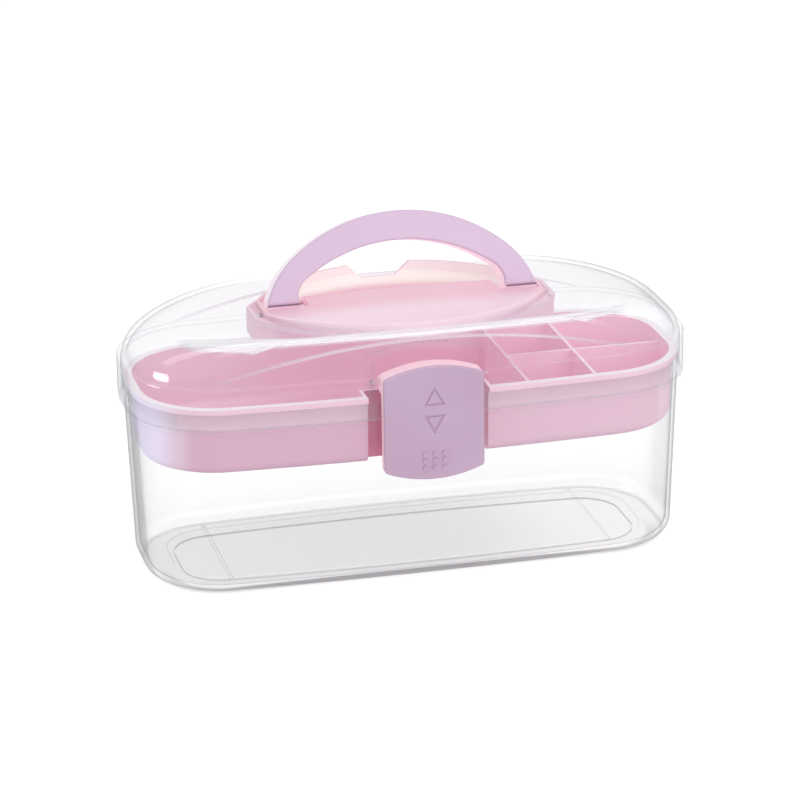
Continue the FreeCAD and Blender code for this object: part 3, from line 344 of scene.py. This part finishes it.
def well_plastic():
    """Pale moulding of the well. On the front face of its rear wall, painted light makes the top
    cream and painted shade makes the lower part dark pink, darkest on the left; a faint painted
    glow lights it all.
    """
    finish = Finish("pale_well")
    across, depth, height = [finish.axis(finish.place(), name) for name in "XYZ"]
    cloud = clouds(finish, 16.0)
    pink = finish.blend(cloud, srgb(232, 200, 216), srgb(236, 207, 222))
    # painted light: cream towards the top of the rear wall
    cream = finish.blend(height.between(0.1130, 0.1180), srgb(228, 200, 206), srgb(246, 252, 240))
    # painted shade: dark pink low on the rear wall, darkest on the left
    shadow = finish.blend(across.between(-0.035, 0.005), srgb(140, 50, 84), srgb(200, 130, 150))
    deep = finish.blend(height.between(0.1112, 0.1140), shadow, cream)
    colour = finish.blend(rear_wall(finish, depth), pink, deep)
    return moulding(finish, colour, 0.32 + cloud * 0.05, colour, 0.20, 1100.0, 0.00003)


def lilac_plastic(name, low, high):
    """Lilac moulding of the handle cover and the face of the latch; its two copies differ only by
    painted light and shade.
    """
    finish = Finish(name)
    cloud = clouds(finish, 18.0)
    colour = finish.blend(cloud, low, high)
    grain = finish.noise(1300.0, 2.0)
    body = finish.plastic(colour, 0.36 + cloud * 0.06, Normal=finish.bump(grain, 0.00004))
    return finish.close(body)


def pin_steel():
    """Drawn steel wire of the hinge and handle pins."""
    finish = Finish("pin_steel")
    lines = finish.noise(260.0, 2.0, 0.5, (0.03, 1.0, 1.0))
    body = finish.plastic(srgb(186, 180, 186), 0.34 + lines * 0.16, Metallic=1.0,
                          Normal=finish.bump(lines, 0.00002))
    return finish.close(body)


def dress(material, *names):
    """Give whole nodes one finish."""
    for name in names:
        slots = nodes[name].data.materials
        slots.clear()
        slots.append(material)


dress(clear_plastic("clear_base", 0.004, 0.85, 0.72, srgb(216, 222, 226), srgb(96, 100, 104),
                    base_lines), "base_shell")
clear_lid = clear_plastic("clear_lid", 0.013, 0.66, 0.79, srgb(204, 210, 222),
                          srgb(90, 90, 98), lid_lines)
dress(clear_lid, "lid_shell", "latch_pin")
dress(tray_plastic(), "tray")
dress(deck_plastic(), "handle_deck")
dress(grip_plastic(), "handle_grip")
dress(latch_plastic(), "latch_body")
dress(well_plastic(), "handle_well")
# One lilac in two copies: painted light makes the handle cover's lighter, where it leans back;
# painted shade makes the upright latch face's darker.
dress(lilac_plastic("lilac_handle_lit", srgb(223, 195, 221), srgb(227, 201, 226)), "handle_cover")
dress(lilac_plastic("lilac_latch_shaded", srgb(204, 173, 199), srgb(209, 179, 205)), "latch_cover")
dress(pin_steel(), "handle_pin_left", "handle_pin_right", "hinge_pin_left", "hinge_pin_right")


# ------------------------------------------------------------------ studio
def make_floor():
    """White floor that keeps the soft shadow of the case, with a painted tight shadow along its
    front.
    """
    mesh = bpy.data.meshes.new("floor")
    half = 4.0
    mesh.from_pydata([(-half, -half, 0), (half, -half, 0), (half, half, 0), (-half, half, 0)], [],
                     [(0, 1, 2, 3)])
    floor = bpy.data.objects.new("floor", mesh)
    bpy.context.scene.collection.objects.link(floor)
    floor.location.z = -0.02 * MM
    finish = Finish("floor_white")
    place = finish.place()
    length = finish.axis(place, "X").math("ABSOLUTE")
    width = finish.axis(place, "Y").math("ABSOLUTE")
    ends = length - (CONTACT_HALF_LENGTH - CONTACT_CORNER)
    sides = width - (CONTACT_HALF_WIDTH - CONTACT_CORNER)
    outside = (ends.math("MAXIMUM", 0.0) ** 2.0 + sides.math("MAXIMUM", 0.0) ** 2.0) ** 0.5
    distance = outside + ends.math("MAXIMUM", sides).math("MINIMUM", 0.0) - CONTACT_CORNER
    # painted shadow: a dark band just inside the outline of the case, along its front, darkest in
    # the middle
    contact_shade = (1.0 - distance.between(-0.0080, -0.0020)) * distance.between(-0.0110, -0.0092)
    front = (-finish.axis(place, "Y")).between(0.0, 0.035)
    middle = 1.0 - length.between(0.03, 0.13) * 0.6
    shade = finish.blend(contact_shade * front * middle * 1.3, WHITE, (0.20, 0.21, 0.22, 1.0))
    paper = finish.add("ShaderNodeBsdfDiffuse", None, {"Color": (0.93, 0.93, 0.93, 1.0)})
    glow = finish.add("ShaderNodeEmission", None, {"Color": shade, "Strength": 1.5})
    seen = finish.add("ShaderNodeLightPath", output="Is Camera Ray")
    mesh.materials.append(finish.close(finish.mix(seen * 0.5, paper, glow)))


def make_world():
    """Even pale surroundings, plain white where the eye or a gloss looks into them."""
    studio = Finish("studio", "World")
    seen = studio.add("ShaderNodeLightPath", output="Is Camera Ray")
    for ray in ("Is Glossy Ray", "Is Transmission Ray"):
        seen = seen.math("MAXIMUM", studio.add("ShaderNodeLightPath", output=ray))
    soft = studio.add("ShaderNodeBackground", None,
                      {"Color": (0.97, 0.98, 1.0, 1.0), "Strength": 0.62})
    plain = studio.add("ShaderNodeBackground", None, {"Color": WHITE, "Strength": 1.0})
    bpy.context.scene.world = studio.close(studio.mix(seen, soft, plain))


def make_lamp(name, place, target, size, power, gloss_only=False):
    lamp = bpy.data.lights.new(name, "AREA")
    lamp.shape = "RECTANGLE"
    lamp.size, lamp.size_y = size
    lamp.energy = power
    item = bpy.data.objects.new(name, lamp)
    bpy.context.scene.collection.objects.link(item)
    item.location = place
    item.rotation_euler = (Vector(target) - Vector(place)).to_track_quat("-Z", "Y").to_euler()
    item.visible_diffuse = not gloss_only


def make_camera():
    """Long lens, from the front and a little to the left and above."""
    azimuth, elevation, roll = (math.radians(a) for a in (-13.663, 19.352, -0.844))
    distance = 1829.65 * MM
    target = Vector((-1.211, 0.0, 71.732)) * MM
    back = Vector((math.sin(azimuth) * math.cos(elevation),
                   -math.cos(azimuth) * math.cos(elevation), math.sin(elevation)))
    level = Vector((math.cos(azimuth), math.sin(azimuth), 0.0))
    upright = back.cross(level)
    right = level * math.cos(roll) + upright * math.sin(roll)
    upward = upright * math.cos(roll) - level * math.sin(roll)
    camera = bpy.data.cameras.new("camera")
    camera.sensor_width = 36.0
    camera.lens = 171.66
    camera.clip_end = 20.0
    item = bpy.data.objects.new("camera", camera)
    bpy.context.scene.collection.objects.link(item)
    turn = Matrix((right, upward, back)).transposed().to_4x4()
    item.matrix_world = Matrix.Translation(target + back * distance) @ turn
    bpy.context.scene.camera = item


make_floor()
make_world()
make_lamp("strip_above", (0.0, 0.55, 1.1), (0, -0.05, 0.12), (2.6, 0.16), 5.0, True)
make_lamp("overhead", (-0.1, -0.25, 1.3), (0, 0, 0.08), (1.0, 0.7), 3.0)
make_lamp("front_fill", (0.5, -1.7, 0.7), (0, 0, 0.08), (1.2, 0.9), 7.0)
make_lamp("left_box", (-1.2, 0.02, 0.16), (0, 0, 0.1), (0.42, 0.46), 9.0, True)
make_camera()
bpy.context.scene.view_settings.view_transform = "Standard"
